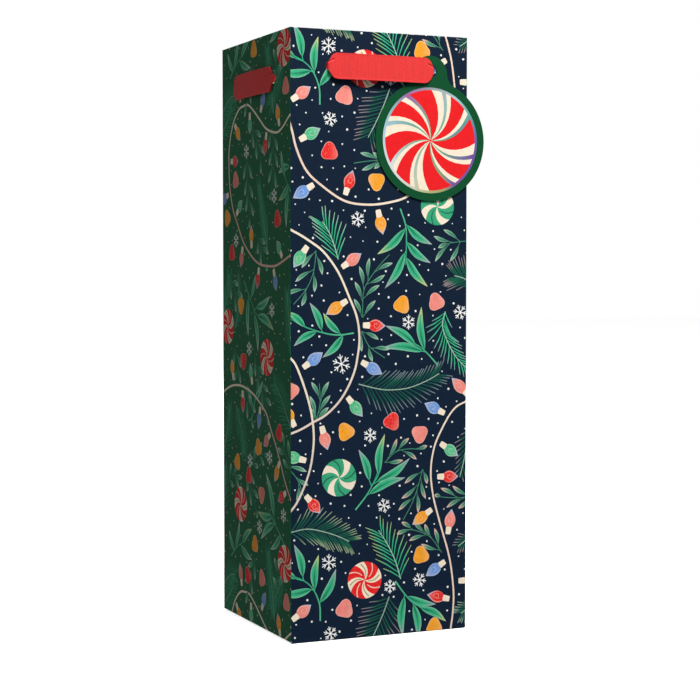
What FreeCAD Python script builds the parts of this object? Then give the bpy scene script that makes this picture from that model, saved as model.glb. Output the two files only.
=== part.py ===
import FreeCAD, Part
import os
import re

# A tall square paper gift bag for a wine bottle. One folded and glued sheet makes four walls, an inward
# top hem and a block bottom; stiffening boards sit inside the front and back hems and a loose board in
# the base. A ribbon loop runs outside each wall and crosses each corner inside, and a card tag hangs on it.
# Frame: +Z up, origin in the middle of the underside, front wall towards -Y.

DRIVING = {
    "bag_width": 114.3,
    "bag_depth": 114.3,
    "bag_height": 355.6,
    "paper": 0.3,
    "hem_drop": 38.0,
    "stiffener": 0.5,
    "stiffener_drop": 34.0,
    "seam_width": 15.0,
    "main_flap_overlap": 10.0,
    "main_flap_taper": 12.0,
    "side_flap_reach": 42.0,
    "side_flap_taper": 30.0,
    "base_board_side": 110.8,
    "base_board_thickness": 1.2,
    "ribbon_width": 15.0,
    "ribbon_thickness": 0.5,
    "ribbon_standoff": 1.2,
    "front_strap_length": 69.7,
    "front_strap_drop": 21.0,
    "side_strap_length": 67.0,
    "side_strap_drop": 27.0,
    "tip_length": 6.5,
    "tip_width": 5.6,
    "tail_inset": 2.6,
    "tail_width": 2.2,
    "tail_height": 4.4,
    "tail_depth": 5.4,
    "punch_diameter": 6.0,
    "run_end_gap": 1.0,
    "lap_length": 12.0,
    "tag_diameter": 71.6,
    "tag_lobe_diameter": 22.0,
    "tag_lobe_rise": 39.0,
    "tag_hole_diameter": 8.0,
    "tag_hole_rise": 41.0,
    "tag_neck_radius": 8.0,
    "tag_thickness": 0.4,
    "tag_standoff": 0.3,
}
ALIAS = re.compile(r"\b(" + "|".join(DRIVING) + r")\b")

doc = FreeCAD.newDocument("wine_gift_bag")
sheet = doc.addObject("Spreadsheet::Sheet", "dims")
for row, (alias, value) in enumerate(DRIVING.items(), start=1):
    sheet.set(f"A{row}", alias)
    sheet.set(f"B{row}", str(value))
    sheet.setAlias(f"B{row}", alias)
doc.recompute()

subparts = []


def keep(obj, label):
    """Names a finished sub-part, which is written to its own file."""
    obj.Label = label
    subparts.append(obj)
    return obj


def bind(obj, **formulas):
    """Ties properties to formulas in the sheet's words. A name such as at_x means Placement.Base.x."""
    for name, formula in formulas.items():
        path = name.replace("at_", "Placement.Base.")
        obj.setExpression(path, ALIAS.sub(r"dims.\1", formula))
    return obj


def box(name, size, corner):
    """A block from its size and its lowest corner, each three formulas."""
    block = doc.addObject("Part::Box", name)
    bind(block, Length=size[0], Width=size[1], Height=size[2])
    return bind(block, at_x=corner[0], at_y=corner[1], at_z=corner[2])


def rod(name, diameter, length, start):
    """A cylinder that runs from start towards -Y."""
    cylinder = doc.addObject("Part::Cylinder", name)
    cylinder.Placement.Rotation = FreeCAD.Rotation(FreeCAD.Vector(1, 0, 0), 90)
    bind(cylinder, Radius=f"({diameter}) / 2", Height=length)
    return bind(cylinder, at_x=start[0], at_y=start[1], at_z=start[2])


def joined(name, pieces):
    fuse = doc.addObject("Part::MultiFuse", name)
    fuse.Shapes = pieces
    fuse.Refine = True
    return fuse


def turned(obj, angle):
    """Turns a piece made for the front wall to another wall, about the bag's upright axis."""
    obj.Placement = FreeCAD.Placement(FreeCAD.Vector(), FreeCAD.Rotation(FreeCAD.Vector(0, 0, 1), angle))
    return obj


# Each wall: its turn from the front, the bag's size across and through it, and its strap.
WALLS = {
    "front": (0, "bag_width", "bag_depth", "front_strap_length", "front_strap_drop"),
    "right": (90, "bag_depth", "bag_width", "side_strap_length", "side_strap_drop"),
    "back": (180, "bag_width", "bag_depth", "front_strap_length", "front_strap_drop"),
    "left": (270, "bag_depth", "bag_width", "side_strap_length", "side_strap_drop"),
}
MAIN_WALLS = ("front", "back")


def wall_layer(wall, suffix, width, depth, thickness, bottom, height):
    """A flat layer of one wall, depth in from its outer face, with the two punched holes."""
    angle, _, through, strap, drop = WALLS[wall]
    label = f"{wall}_{suffix}"
    face = f"-({through}) / 2 + {depth}"
    slab = box(label + "_slab", (width, thickness, height), (f"-({width}) / 2", face, bottom))
    punches = []
    for side, sign in (("a", "-1"), ("b", "1")):
        centre = f"{sign} * ({strap} / 2 - tail_inset)"
        start = (centre, f"{face} + 2 * ({thickness})", f"bag_height - {drop}")
        punches.append(rod(f"{label}_punch_{side}", "punch_diameter", f"3 * ({thickness})", start))
    cut = doc.addObject("Part::Cut", label)
    cut.Base = slab
    cut.Tool = joined(label + "_punches", punches)
    return keep(turned(cut, angle), label)


def make_walls():
    """The front and back walls take the full width, and the side walls fit between them."""
    for wall, (_, across, _, _, _) in WALLS.items():
        width = across if wall in MAIN_WALLS else f"{across} - 2 * paper"
        wall_layer(wall, "panel", width, "0", "paper", "0", "bag_height")


def make_hems():
    """The top of the sheet is turned inwards, over a stiffening board at the front and back."""
    for wall, (_, across, _, _, _) in WALLS.items():
        bottom = "bag_height - hem_drop"
        if wall in MAIN_WALLS:
            width = f"{across} - 2 * paper"
            board_bottom = "bag_height - paper - stiffener_drop"
            wall_layer(wall, "top_board", width, "paper", "stiffener", board_bottom, "stiffener_drop")
            wall_layer(wall, "top_hem", width, "paper + stiffener", "paper", bottom, "hem_drop")
        else:
            width = f"{across} - 4 * paper - 2 * stiffener"
            wall_layer(wall, "top_hem", width, "paper", "paper", bottom, "hem_drop")


def make_seam_flap():
    """The glue flap of the right wall's back edge, stuck to the inside of the back wall."""
    size = ("seam_width", "paper", "bag_height - hem_drop - 3 * paper")
    corner = ("bag_width / 2 - paper - seam_width", "bag_depth / 2 - 2 * paper", "3 * paper")
    keep(box("side_seam_flap", size, corner), "side_seam_flap")


def base_flap(wall, reach, taper, layer):
    """A bottom flap: full width at its fold, narrower at its free edge, flat in its layer of the base."""
    angle, across, through, _, _ = WALLS[wall]
    flap = doc.addObject("Part::Wedge", f"{wall}_base_flap")
    fold = f"-({through} / 2 - paper)"
    half = f"({across} / 2 - paper)"
    bind(flap, Xmin=f"-{half}", Xmax=half, X2min=f"-{half} + {taper}", X2max=f"{half} - {taper}")
    bind(flap, Ymin=fold, Ymax=f"{fold} + {reach}")
    bind(flap, Zmin="0", Zmax="paper", Z2min="0", Z2max="paper")
    turned(flap, angle)
    bind(flap, at_z=f"{layer} * paper")
    return keep(flap, f"{wall}_base_flap")


def make_base():
    """The side flaps fold in first, then the back flap and last the front flap, which shows below."""
    main_reach = "bag_depth / 2 - paper + main_flap_overlap"
    base_flap("front", main_reach, "main_flap_taper", 0)
    base_flap("back", main_reach, "main_flap_taper", 1)
    base_flap("left", "side_flap_reach", "side_flap_taper", 2)
    base_flap("right", "side_flap_reach", "side_flap_taper", 2)
    size = ("base_board_side", "base_board_side", "base_board_thickness")
    corner = ("-base_board_side / 2", "-base_board_side / 2", "3 * paper")
    keep(box("base_board", size, corner), "base_board")


def make_strap(wall):
    """The ribbon outside one wall: a band, a tapered tip each end, a bunched tail through each hole."""
    angle, _, through, length, drop = WALLS[wall]
    label = f"{wall}_strap"
    back = f"-({through} / 2 + ribbon_standoff)"
    outer = f"{back} - ribbon_thickness"
    centre = f"bag_height - {drop}"
    band_length = f"({length} - 2 * tip_length)"
    size = (band_length, "ribbon_thickness", "ribbon_width")
    pieces = [box(label + "_band", size, (f"-{band_length} / 2", outer, f"{centre} - ribbon_width / 2"))]
    upright = FreeCAD.Rotation(FreeCAD.Vector(1, 1, 1), 240)  # lays a wedge's own X, Y, Z along Z, X, Y
    wide, narrow = "ribbon_width / 2", "tip_width / 2"
    ends = {-1: (narrow, wide, "-tip_length", "0"), 1: (wide, narrow, "0", "tip_length")}
    for sign, (low_half, high_half, low, high) in ends.items():
        side = "b" if sign > 0 else "a"
        tip = doc.addObject("Part::Wedge", f"{label}_tip_{side}")
        tip.Placement.Rotation = upright
        bind(tip, Xmin=f"-{low_half}", Xmax=low_half, X2min=f"-{high_half}", X2max=high_half)
        bind(tip, Ymin=low, Ymax=high, Zmin="0", Zmax="ribbon_thickness")
        bind(tip, Z2min="0", Z2max="ribbon_thickness")
        bind(tip, at_x=f"{sign} * {band_length} / 2", at_y=outer, at_z=centre)
        pieces.append(tip)
        tail_x = f"{sign} * ({length} / 2 - tail_inset)"
        size = ("tail_width", "ribbon_standoff + ribbon_thickness + tail_depth", "tail_height")
        corner = (f"{tail_x} - tail_width / 2", outer, f"{centre} - tail_height / 2")
        pieces.append(box(f"{label}_tail_{side}", size, corner))
    return keep(turned(joined(label, pieces), angle), label)


def corner_slab(label, side_x, side_y, length, layer):
    """Ribbon standing on edge across an inside corner, from the tail of one strap to the tail of the next."""
    going = "(bag_width / 2 - tail_depth - front_strap_length / 2 + tail_inset)"
    rise = "(bag_depth / 2 - tail_depth - side_strap_length / 2 + tail_inset)"
    middle_x = f"{side_x} * (bag_width / 2 - tail_depth - {going} / 2)"
    middle_y = f"{side_y} * (bag_depth / 2 - tail_depth - {rise} / 2)"
    middle_z = "bag_height - (front_strap_drop + side_strap_drop) / 2"
    length = length.replace("span", f"sqrt({going} ^ 2 + {rise} ^ 2)")
    slab = doc.addObject("Part::Box", label)
    bind(slab, Length=length, Width="ribbon_thickness", Height="ribbon_width")
    # Turned so that the slab's own +Y faces out to the corner; further layers lie on its inner side.
    angle = f"{90 - 90 * side_y} deg - {side_x * side_y} * atan({rise} / {going})"
    upright = "create(<<vector>>; 0; 0; 1)"
    turn = f"create(<<rotation>>; {upright}; {angle})"
    middle = f"create(<<vector>>; {middle_x}; {middle_y}; {middle_z})"
    low = f"create(<<vector>>; -({length}) / 2; -({layer} + 0.5) * ribbon_thickness; -ribbon_width / 2)"
    level = f"create(<<rotation>>; {upright}; 0)"
    place = f"create(<<placement>>; {middle}; {turn}) * create(<<placement>>; {low}; {level})"
    slab.setExpression("Placement", ALIAS.sub(r"dims.\1", place))
    return keep(slab, label)


def make_ribbon():
    for wall in WALLS:
        make_strap(wall)
    for main, side_y in (("front", -1), ("back", 1)):
        for side, side_x in (("left", -1), ("right", 1)):
            corner_slab(f"{main}_{side}_corner_run", side_x, side_y, "span - 2 * run_end_gap", 0)
    corner_slab("ribbon_lap", 1, 1, "lap_length", 1)


def make_tag():
    """A round card with a lobe on top, punched for the ribbon's tail, hanging flat before the front wall."""
    hole_x = "front_strap_length / 2 - tail_inset"
    hole_z = "bag_height - front_strap_drop"
    back = "-(bag_depth / 2 + tag_standoff)"
    disc = rod("tag_disc", "tag_diameter", "tag_thickness", (hole_x, back, f"{hole_z} - tag_hole_rise"))
    lobe_z = f"{hole_z} - tag_hole_rise + tag_lobe_rise"
    lobe = rod("tag_lobe", "tag_lobe_diameter", "tag_thickness", (hole_x, back, lobe_z))
    outline = joined("tag_outline", [disc, lobe])
    doc.recompute()
    thickness = DRIVING["tag_thickness"]
    necks = []
    for number, edge in enumerate(outline.Shape.Edges, start=1):
        inner = abs(edge.Vertexes[0].X - disc.Placement.Base.x) > 1
        if isinstance(edge.Curve, Part.Line) and abs(edge.Length - thickness) < 1e-6 and inner:
            necks.append((number, DRIVING["tag_neck_radius"], DRIVING["tag_neck_radius"]))
    rounded = doc.addObject("Part::Fillet", "tag_rounded")
    rounded.Base = outline
    rounded.Edges = necks
    tag = doc.addObject("Part::Cut", "gift_tag")
    tag.Base = rounded
    punch = (hole_x, f"{back} + tag_thickness", hole_z)
    tag.Tool = rod("tag_punch", "tag_hole_diameter", "3 * tag_thickness", punch)
    return keep(tag, "gift_tag")


make_walls()
make_hems()
make_seam_flap()
make_base()
make_ribbon()
make_tag()
doc.recompute()

for obj in doc.Objects:
    if "Invalid" in obj.State or "Error" in obj.State:
        raise SystemExit(f"{obj.Label} failed: {obj.State}")
os.makedirs("parts", exist_ok=True)
for obj in subparts:
    shape = obj.Shape
    if shape.isNull() or not shape.isValid() or not shape.Solids:
        raise SystemExit(f"{obj.Label} has no valid solid")
    shape.exportStep(f"parts/{obj.Label}.step")
    bounds = shape.BoundBox
    print(f"{obj.Label:26s} {len(shape.Solids)} solid, volume {shape.Volume:9.2f} mm3,"
          f" x {bounds.XMin:7.2f} {bounds.XMax:7.2f}, y {bounds.YMin:7.2f} {bounds.YMax:7.2f},"
          f" z {bounds.ZMin:7.2f} {bounds.ZMax:7.2f}")
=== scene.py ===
"""The looks of a tall printed paper gift bag: folded printed sheet, grosgrain ribbon loop and card tag."""
import math
import random
from typing import NamedTuple

import bpy
import numpy
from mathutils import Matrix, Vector
from mathutils.geometry import delaunay_2d_cdt
from mathutils.kdtree import KDTree


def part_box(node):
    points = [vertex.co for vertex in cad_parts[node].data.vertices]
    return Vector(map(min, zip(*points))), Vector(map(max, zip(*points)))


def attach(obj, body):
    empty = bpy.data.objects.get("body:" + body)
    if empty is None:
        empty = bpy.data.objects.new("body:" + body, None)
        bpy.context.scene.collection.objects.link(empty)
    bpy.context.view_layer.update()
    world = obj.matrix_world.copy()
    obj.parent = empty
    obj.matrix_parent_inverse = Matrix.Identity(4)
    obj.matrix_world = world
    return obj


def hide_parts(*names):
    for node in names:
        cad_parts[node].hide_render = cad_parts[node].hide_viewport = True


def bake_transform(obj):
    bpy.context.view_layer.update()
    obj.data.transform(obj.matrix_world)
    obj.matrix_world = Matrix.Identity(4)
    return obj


MM = 0.001
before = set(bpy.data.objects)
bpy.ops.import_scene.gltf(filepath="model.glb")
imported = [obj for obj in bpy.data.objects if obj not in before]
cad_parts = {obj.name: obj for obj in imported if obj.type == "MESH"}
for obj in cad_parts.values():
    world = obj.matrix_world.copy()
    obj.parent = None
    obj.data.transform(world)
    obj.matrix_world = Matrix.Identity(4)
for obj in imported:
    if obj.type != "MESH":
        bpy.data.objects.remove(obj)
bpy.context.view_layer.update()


# ---------------------------------------------------------------- sizes from the frame, in millimetres
def corners(node):
    low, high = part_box(node)
    return low / MM, high / MM


FRONT_LOW, FRONT_HIGH = corners("front_panel")
BACK_LOW, BACK_HIGH = corners("back_panel")
WIDTH = FRONT_HIGH.x - FRONT_LOW.x
DEPTH = BACK_HIGH.y - FRONT_LOW.y
HEIGHT = FRONT_HIGH.z
PAPER = FRONT_HIGH.y - FRONT_LOW.y
HEM_DROP = HEIGHT - corners("front_top_hem")[0].z
TAIL_INSET = 2.6  # from a strap's tip to the middle of its punched hole
PUNCH_RADIUS = 3.0
CORNER_RADIUS = 0.6  # of the bag's upright creases
BASE_RADIUS = 0.5  # of the crease round the base
REPEAT = 300.0  # the print repeats up the sheet


def srgb(red, green, blue):
    """A colour given in 8-bit display values, as linear light."""
    def channel(value):
        value /= 255
        return value / 12.92 if value <= 0.04045 else ((value + 0.055) / 1.055) ** 2.4
    return (channel(red), channel(green), channel(blue))


def mix(first, second, share):
    return tuple(a + (b - a) * share for a, b in zip(first, second))


WHITE = srgb(246, 247, 244)
CREAM = srgb(252, 236, 212)
DIM_CREAM = srgb(214, 206, 178)
NAVY = srgb(17, 34, 54)
SIDE_GREEN = srgb(30, 108, 70)
RED = srgb(240, 34, 38)
PINK = srgb(248, 138, 128)
ORANGE = srgb(253, 164, 24)
BLUE = srgb(108, 156, 222)
MINT = srgb(74, 192, 138)
LEAF = srgb(58, 184, 134)
SAGE = srgb(78, 150, 118)
PINE = srgb(30, 98, 74)
SHADE = srgb(24, 92, 72)
MAUVE = srgb(190, 160, 168)
BLUSH = srgb(236, 190, 178)
LILAC = srgb(158, 172, 178)
PALE = srgb(196, 222, 200)
STRAW = srgb(196, 206, 132)
KHAKI = srgb(178, 166, 104)
CARD_GREEN = srgb(16, 80, 46)
RIBBON_RED = srgb(242, 56, 54)
RIBBON_DEEP = srgb(231, 46, 44)
RIBBON_STREAK = srgb(196, 44, 48)
COLOURS = {"r": RED, "p": PINK, "o": ORANGE, "b": BLUE, "g": MINT}
DOT_RADII = (0.42, 0.5, 0.55, 0.62, 0.7)
DOT_SPACING = 6.6
DOT_CLEARANCE = 1.3  # from the nearest shape
DOT_TRIES = 5000
LEAF_SLANT = 0.33  # radians between a twig and its leaves
LONG_LEAF = 14  # a twig's leaf longer than this is avoided
# the half width of a bulb at shares of its length
BULB_PROFILE = (
    (0.0, 1.5), (0.09, 2.5), (0.2, 3.2), (0.34, 3.6), (0.48, 3.5), (0.62, 2.9), (0.76, 1.95), (0.9, 0.8),
)


# ---------------------------------------------------------------- drawing in the flat, in millimetres
def smooth(points, steps=6):
    """A Catmull-Rom curve through the points."""
    points = [Vector(p) for p in points]
    ends = [2 * points[0] - points[1], *points, 2 * points[-1] - points[-2]]
    line = []
    for a, b, c, d in zip(ends, ends[1:], ends[2:], ends[3:]):
        for k in range(steps):
            t = k / steps
            line.append(0.5 * (2 * b + (c - a) * t + (2 * a - 5 * b + 4 * c - d) * t * t
                               + (3 * b - a - 3 * c + d) * t ** 3))
    return line + [points[-1]]


def heading(line, i):
    """The way along a line at its point i."""
    return line[min(i + 1, len(line) - 1)] - line[max(i - 1, 0)]


def left_of(line, i):
    """The unit vector to the left of a flat line at its point i."""
    return heading(line, i).orthogonal().normalized()


def band(line, half_widths):
    """The outline of a stroke along a line, with a half width for each point."""
    sides = [left_of(line, i) * half_widths[i] for i in range(len(line))]
    return [p + s for p, s in zip(line, sides)] + [p - s for p, s in zip(line[::-1], sides[::-1])]


def ray(angle):
    return Vector((math.cos(angle), math.sin(angle)))


def circle(centre, radius, count):
    return [Vector(centre) + radius * ray(math.tau * k / count) for k in range(count)]


class Shape(NamedTuple):
    """An outline filled with a colour that fades to another from start to end. Chalk is how grainy it is."""
    outline: list
    colour: object
    far: object
    start: Vector
    end: Vector
    chalk: float


class Print:
    """Shapes laid one over another on a sheet."""

    def __init__(self):
        self.shapes = []

    def lay(self, outline, colour, far=None, start=None, end=None, chalk=0.0):
        outline = [Vector(p) for p in outline]
        start, end = start or outline[0], end or outline[0]
        self.shapes.append(Shape(outline, colour, far or colour, start, end, chalk))

    def stroke(self, points, width, colour, far=None, taper=0.0, steps=6):
        line = smooth(points, steps)
        last = len(line) - 1
        halves = [width / 2 * (1 - taper * k / last) for k in range(len(line))]
        self.lay(band(line, halves), colour, far, line[0], line[-1])

    def leaf(self, base, tip, width, colour, far, bend, belly=0.8):
        """A leaf with a light edge, a darker middle and a thin midrib. A belly over 1 is nearer the tip."""
        axis = smooth([base, (base + tip) / 2 + (tip - base).orthogonal() * bend, tip], 6)
        last = len(axis) - 1
        swell = [math.sin(math.pi * (k / last) ** belly) ** 0.9 for k in range(1, last)]
        halves = [0.14] + [width / 2 * share for share in swell] + [0.02]
        self.lay(band(axis, halves), mix(colour, PALE, 0.3), mix(far, PALE, 0.25), axis[6], tip)
        inner = [p - left_of(axis, i) * halves[i] * 0.06 for i, p in enumerate(axis)][:-1]
        self.lay(band(inner, [h * 0.8 for h in halves[:-1]]), colour, far, axis[6], tip, 0.15)
        deep = [h * 0.42 * (1 - k / last) ** 0.5 for k, h in enumerate(halves)]
        dark, less_dark = mix(colour, SHADE, 0.55), mix(colour, SHADE, 0.15)
        self.lay(band(axis[:-2], deep[:-2]), dark, less_dark, axis[2], axis[8])
        self.stroke([axis[1], axis[4], axis[8]], 0.34, SHADE, taper=0.75, steps=3)

    def sprig(self, stem, leaves, width, colour=LEAF, far=LILAC):
        """Long leaves, each from its base to its tip. A base away from the stem gets a stalk."""
        self.stroke(stem, 0.95, mix(colour, PALE, 0.1), mix(colour, SHADE, 0.3), taper=0.35)
        line = smooth(stem, 6)
        for number, (base_x, base_y, tip_x, tip_y) in enumerate(leaves):
            base, tip = Vector((base_x, base_y)), Vector((tip_x, tip_y))
            back = base - tip
            stalks = [p for p in line if 1.0 < (p - base).length < 12.0 and (p - base).angle(back) < 0.7]
            if stalks and min((p - base).length for p in line) > 0.8:
                foot = min(stalks, key=lambda p: (p - base).angle(back) + 0.05 * (p - base).length)
                self.stroke([base, (base + foot) / 2 + back * 0.02, foot], 0.6, colour, steps=3)
            tint = STRAW if number % 3 == 1 else far
            bend = 0.07 if number % 2 else -0.07
            self.leaf(base, tip, min(width, 1.6 + 0.16 * back.length), colour, tint, bend)

    def twig(self, stem, tips, width, colour, far):
        """A twig with small leaves. Each leaves the stem where it makes the same sharp angle with it."""
        line = smooth(stem, 8)
        self.stroke(stem, 0.55, mix(colour, SHADE, 0.35), colour, taper=0.3)
        for number, tip in enumerate(Vector(tip) for tip in tips):

            def slant(i):
                way = tip - line[i]
                if way.length <= 3:
                    return 9.0
                too_long = max(0.0, way.length - LONG_LEAF) * 0.2
                return abs(way.angle(heading(line, i)) - LEAF_SLANT) + too_long

            foot = line[min(range(len(line)), key=slant)]
            way = tip - foot
            self.stroke([foot, foot + way * 0.1, foot + way * 0.2], 0.35, colour, steps=2)
            self.leaf(foot + way * 0.1, tip, width, colour, far, 0.05 if number % 2 else -0.05, belly=1.45)

    def frond(self, stem, length, count, angle, colour, far, rib=None):
        """Fine needles both sides of a curved rib, shorter towards its end."""
        line = smooth(stem, 12)
        for k in range(count):
            t = 0.04 + 0.96 * k / count
            i = int(t * (len(line) - 1))
            normal = left_of(line, i)
            along = Vector((normal.y, -normal.x))
            shorter = (1 - 0.45 * t ** 1.5) * (0.6 + 0.4 * min(1.0, t * 7))
            size = length * shorter * (0.95 + 0.06 * math.sin(k * 2.3))
            for side in (1, -1):
                turn = math.radians(angle * (1.12 - 0.42 * t)) * side
                way = along * math.cos(turn) + normal * math.sin(turn)
                foot, tip = line[i], line[i] + way * size
                middle = (foot + tip) / 2 + along * size * 0.05
                needle = band([foot, middle, tip], [0.18, 0.4, 0.15])
                self.lay(needle, colour, mix(colour, far, 0.85), foot + way * size * 0.55, tip)
        self.stroke(stem, 0.75, rib or mix(colour, PALE, 0.5), rib or mix(colour, PALE, 0.8), taper=0.5)

    def bulb(self, base_x, base_y, tip_x, tip_y, key):
        """A lamp on a light string: a cream socket and a pointed bulb with a pale curl."""
        colour = COLOURS[key]
        base, tip = Vector((base_x, base_y)), Vector((tip_x, tip_y))
        along = (tip - base).normalized()
        across = along.orthogonal()
        tip += along
        cap = 4.1  # length of the socket
        span = (tip - base).length - cap + 0.2

        def place(u, v):
            return base + along * u + across * v

        def glass(grow):
            near = [(cap - 0.2 + share * span * grow, half * grow) for share, half in BULB_PROFILE]
            near.append((cap - 0.2 + span * grow, 0))
            return [place(u, v) for u, v in near] + [place(u, -v) for u, v in near[-2::-1]]

        half_way = place((tip - base).length * 0.55, 0)
        self.lay(glass(1.0), mix(colour, CREAM, 0.25), mix(BLUE, CREAM, 0.4), half_way, tip)
        self.lay(glass(0.9), colour, mix(colour, CREAM, 0.2), half_way, tip, 0.5)
        side = [(-0.2, 1.35), (0.3, 1.65), (cap, 1.95)]
        socket = side + [(cap + 0.45, 0.0)] + [(u, -v) for u, v in side[::-1]]
        self.lay([place(u, v) for u, v in socket], CREAM)
        light = mix(colour, CREAM, 0.5)
        centre = place(cap + span * 0.4, 0.2)
        curl = []
        for a in (0.4, 1.6, 2.9, 4.2, 5.4, 6.4):
            curl.append(centre + (0.35 + 0.33 * a) * (along * math.cos(a) + across * math.sin(a)))
        self.stroke(curl, 0.36, light, taper=0.5, steps=3)
        shine = [place(cap + 0.6, 2.2), place(cap + span * 0.36, 3.1), place(cap + span * 0.68, 2.2)]
        self.stroke(shine, 0.4, light, taper=0.6, steps=3)

    def gumdrop(self, x, y, turn, key, size=11):
        """A sugared sweet: a rounded triangle, paler on one side, with grains of sugar."""
        colour = COLOURS[key]
        light = mix(colour, CREAM, 0.3)
        centre = Vector((x, y))
        turn = math.radians(turn + 90)
        outline = []
        for k in range(24):
            a = math.tau * k / 24
            radius = size / 2 * (0.93 + 0.12 * math.cos(3 * a)) * (1 + 0.06 * math.cos(a))
            outline.append(centre + radius * ray(a + turn))
        inner = [centre + (p - centre) * 0.93 for p in outline]
        self.lay(outline, light, mix(colour, CREAM, 0.45), centre, outline[4])
        self.lay(inner, colour, mix(colour, CREAM, 0.15), centre, outline[18], 0.4)
        grains = 26
        for k in range(grains):
            reach = size / 2 * math.sqrt((k + 0.5) / grains) * 0.78
            self.lay(circle(centre + ray(k * 2.4) * reach, 0.16, 5), light)

    def mint(self, x, y, turn, colour, arm_line, gap_line, radius=11):
        """A peppermint: four pale curved arms on a coloured disc, with fine lines on arms and gaps."""
        centre = Vector((x, y))
        self.lay(circle(centre, radius, 44), colour, chalk=0.15)

        def point(share, degrees):
            return centre + radius * share * ray(math.radians(turn + degrees) + 0.85 * (share - 1))

        shares = [0.0, 0.15, 0.3, 0.45, 0.6, 0.75, 0.9, 1.0]
        for middle in (0, 90, 180, 270):
            right_edge = [point(share, middle - 16) for share in shares]
            rim = [point(1.0, middle + degrees) for degrees in (-8, 0, 8)]
            left_edge = [point(share, middle + 16) for share in shares[:0:-1]]
            self.lay(right_edge + rim + left_edge, CREAM)
            fine_lines = ((arm_line, middle, 0.2, 0.9), (gap_line, middle + 45, 0.3, 1.0))
            for line, degrees, first, last in fine_lines:
                if line:
                    spots = [point(first + (last - first) * k / 3, degrees) for k in range(4)]
                    self.stroke(spots, 0.5, line, taper=-0.6, steps=3)

    def snowflake(self, x, y, radius, turn=0):
        """Six forked arms."""
        centre = Vector((x, y))
        for arm in range(6):
            way = ray(math.radians(turn + 60 * arm + 90))
            self.lay(band([centre, centre + way * radius], [0.3, 0.3]), WHITE)
            for side in (1, -1):
                foot = centre + way * radius * 0.52
                end = foot + (way * 0.8 + way.orthogonal() * side * 0.75) * radius * 0.36
                self.lay(band([foot - way * 0.2, end], [0.3, 0.26]), WHITE)

    def repeated(self, low, high, drop):
        """The print repeated up the sheet, where it lies between low and high, then moved down by drop."""
        wider = Print()
        for shift in (-REPEAT, 0.0, REPEAT):
            move = Vector((0, shift - drop))
            for shape in self.shapes:
                heights = [p.y + shift for p in shape.outline]
                if max(heights) > low and min(heights) < high:
                    moved = [p + move for p in shape.outline]
                    start, end = shape.start + move, shape.end + move
                    wider.shapes.append(shape._replace(outline=moved, start=start, end=end))
        return wider

    def snow(self, seed, low, high, colour):
        """Small dots on the ground between the shapes, laid under them."""
        rng = random.Random(seed)
        points = []
        for shape in self.shapes:
            for a, b in zip(shape.outline, shape.outline[1:] + shape.outline[:1]):
                parts = max(1, int((b - a).length / 1.5))
                points += [a + (b - a) * k / parts for k in range(parts)]
        tree = KDTree(len(points))
        for i, p in enumerate(points):
            tree.insert((p.x, p.y, 0), i)
        tree.balance()
        tries = [Vector((rng.uniform(-2, WIDTH + 2), rng.uniform(low, high))) for _ in range(DOT_TRIES)]
        covers = topmost(tries, [shape.outline for shape in self.shapes])
        dots = []
        for spot, cover in zip(tries, covers):
            radius = rng.choice(DOT_RADII)
            if cover >= 0 or tree.find((spot.x, spot.y, 0))[2] < radius + DOT_CLEARANCE:
                continue
            if all((spot - other.start).length >= DOT_SPACING for other in dots):
                dots.append(Shape(circle(spot, radius, 9), colour, colour, spot, spot, 0.0))
        self.shapes[:0] = dots


def topmost(spots, outlines):
    """For each spot, the number of the last outline round it, or -1. Loops of either turn count."""
    spots = numpy.array([(p[0], p[1]) for p in spots])
    order = numpy.argsort(spots[:, 1])
    ys = spots[order, 1]
    found = numpy.full(len(spots), -1)
    for number, outline in enumerate(outlines):
        ring = numpy.array([(p[0], p[1]) for p in outline])
        low, high = ring.min(0), ring.max(0)
        near = order[numpy.searchsorted(ys, low[1]):numpy.searchsorted(ys, high[1])]
        near = near[(spots[near, 0] > low[0]) & (spots[near, 0] < high[0])]
        if not len(near):
            continue
        x, y = spots[near, 0][:, None], spots[near, 1][:, None]
        ax, ay = ring[:, 0], ring[:, 1]
        bx, by = numpy.roll(ax, -1), numpy.roll(ay, -1)
        side = (bx - ax) * (y - ay) - (x - ax) * (by - ay)
        upward = (ay <= y) & (by > y) & (side > 0)
        downward = (ay > y) & (by <= y) & (side < 0)
        found[near[upward.sum(1) != downward.sum(1)]] = number
    return found


# ---------------------------------------------------------------- what is printed on the front and back
# Places are across from the wall's left crease and up from the base.
# Each frond: its stem, needle length, pairs of needles, their angle, colour at the rib and at the tips.
FRONT_FRONDS = (
    (((70.5, 33), (67, 44), (62, 54), (56, 63)), 19, 10, 40, LEAF, STRAW),
    (((30, 223), (27.5, 231), (24, 239), (20, 245)), 19, 8, 34, LEAF, PALE),
    (((63, 323), (59, 313), (54, 303), (49, 294)), 19, 13, 56, PINE, MAUVE),
    (((118, 209), (112, 212), (106, 213.5)), 17, 9, 44, PINE, MAUVE),
    (((100, 192), (98, 184), (101, 175), (107, 165), (115, 157)), 15, 14, 40, LEAF, LILAC),
    (((43, 150), (55, 147), (64, 146), (76, 147), (88, 151), (96, 155)), 19, 21, 46, SHADE, LILAC),
    (((-1, 65), (10, 66.5), (20, 64.5), (30, 61), (37, 57.5)), 18, 20, 44, PINE, mix(STRAW, PALE, 0.5)),
    (((118, 122), (115, 113), (113, 103), (110, 92)), 12, 9, 40, PINE, MAUVE),
    (((120, 57), (115, 54), (109, 50)), 10, 6, 40, PINE, MAUVE),
    (((122, 16), (116, 12), (111, 9)), 12, 7, 40, PINE, PALE),
)
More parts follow.
